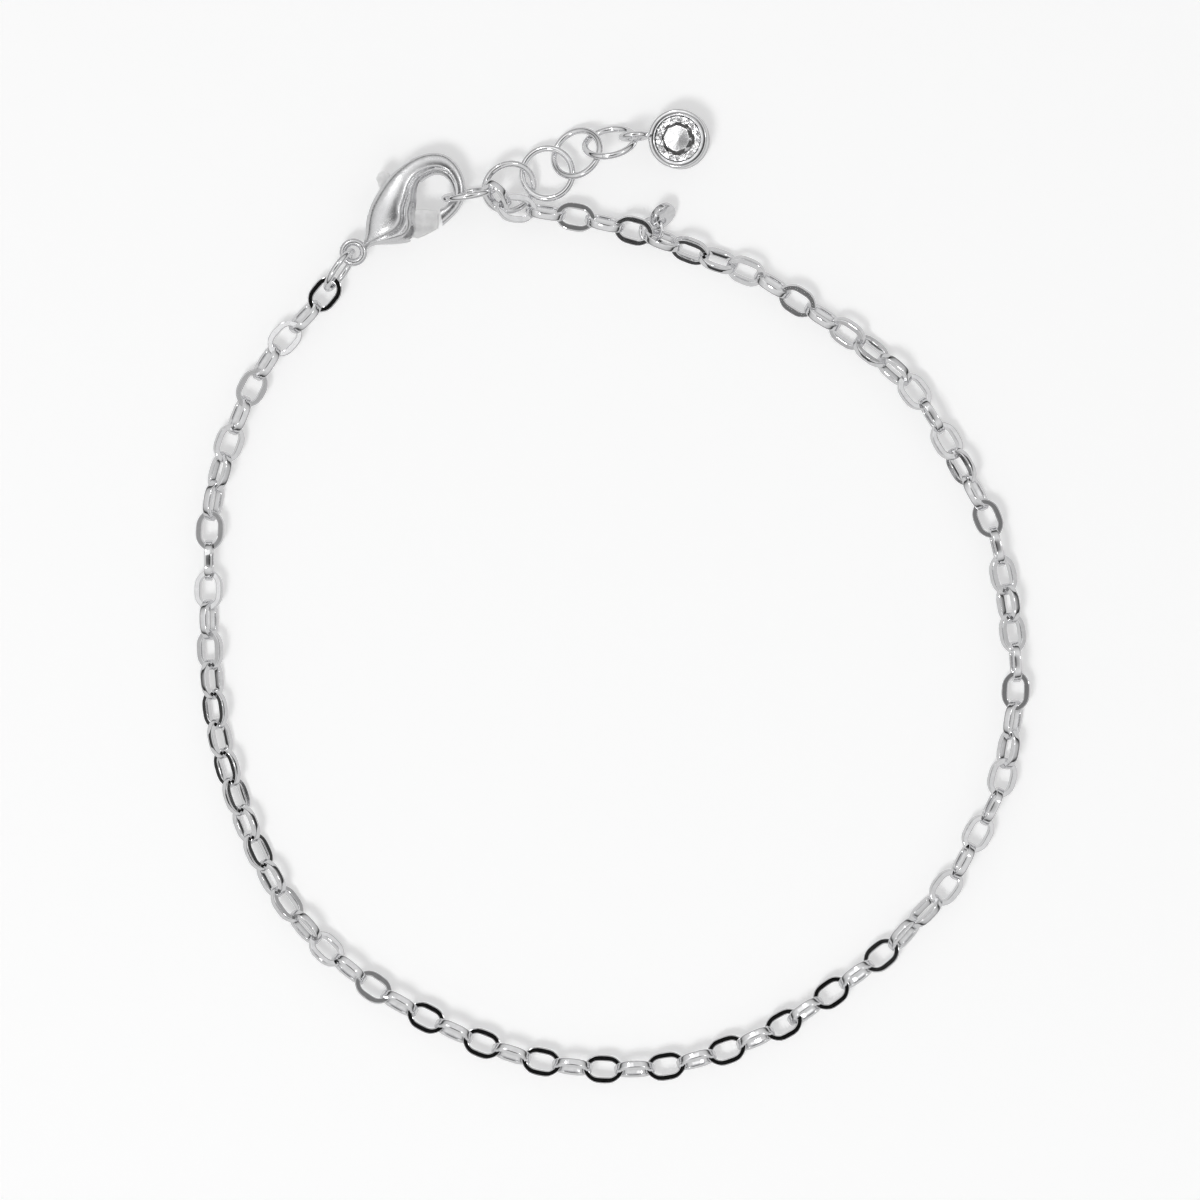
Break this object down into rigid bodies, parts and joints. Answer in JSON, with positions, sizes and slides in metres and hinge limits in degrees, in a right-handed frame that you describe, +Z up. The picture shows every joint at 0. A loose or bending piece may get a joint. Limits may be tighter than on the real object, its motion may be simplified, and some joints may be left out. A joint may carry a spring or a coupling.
{
  "type": "link bracelet",
  "caption": "Fine oval-link chain bracelet lying closed in a loop, with a lobster clasp, a short ring extender ending in a stone-set bezel drop, and a small round tag.",
  "frame": {"origin": "middle of the object's footprint, on the surface it lies on", "axes": "+Z up from the surface; +Y across the loop from its far end to the clasp and the extender; +X to the right of the picture"},
  "size_m": [0.0556, 0.0648, 0.0038],
  "materials": {
    "polished_silver_tone": "polished",
    "clear_crystal": "polished"
  },
  "bodies": {
    "bracelet": {"chain_left": "polished_silver_tone", "chain_right": "polished_silver_tone", "tail_ring": "polished_silver_tone", "clasp_body": "polished_silver_tone", "hook_ring": "polished_silver_tone", "extender_ring_1": "polished_silver_tone", "extender_ring_2": "polished_silver_tone", "extender_ring_3": "polished_silver_tone", "extender_ring_4": "polished_silver_tone", "bezel_drop": "polished_silver_tone", "stone": "clear_crystal", "tag": "polished_silver_tone", "tag_ring": "polished_silver_tone"},
    "clasp_lever": {"clasp_lever": "polished_silver_tone"}
  },
  "joints": [
    {"name": "clasp_lever", "type": "hinge", "parent": "bracelet", "child": "clasp_lever", "pos_m": [-0.01517, 0.02456, 0.00145], "axis": [0, 0, 1], "range_deg": [0, 30], "stiffness_Nm_per_rad": 0.004, "springref_deg": -20.05}
  ]
}
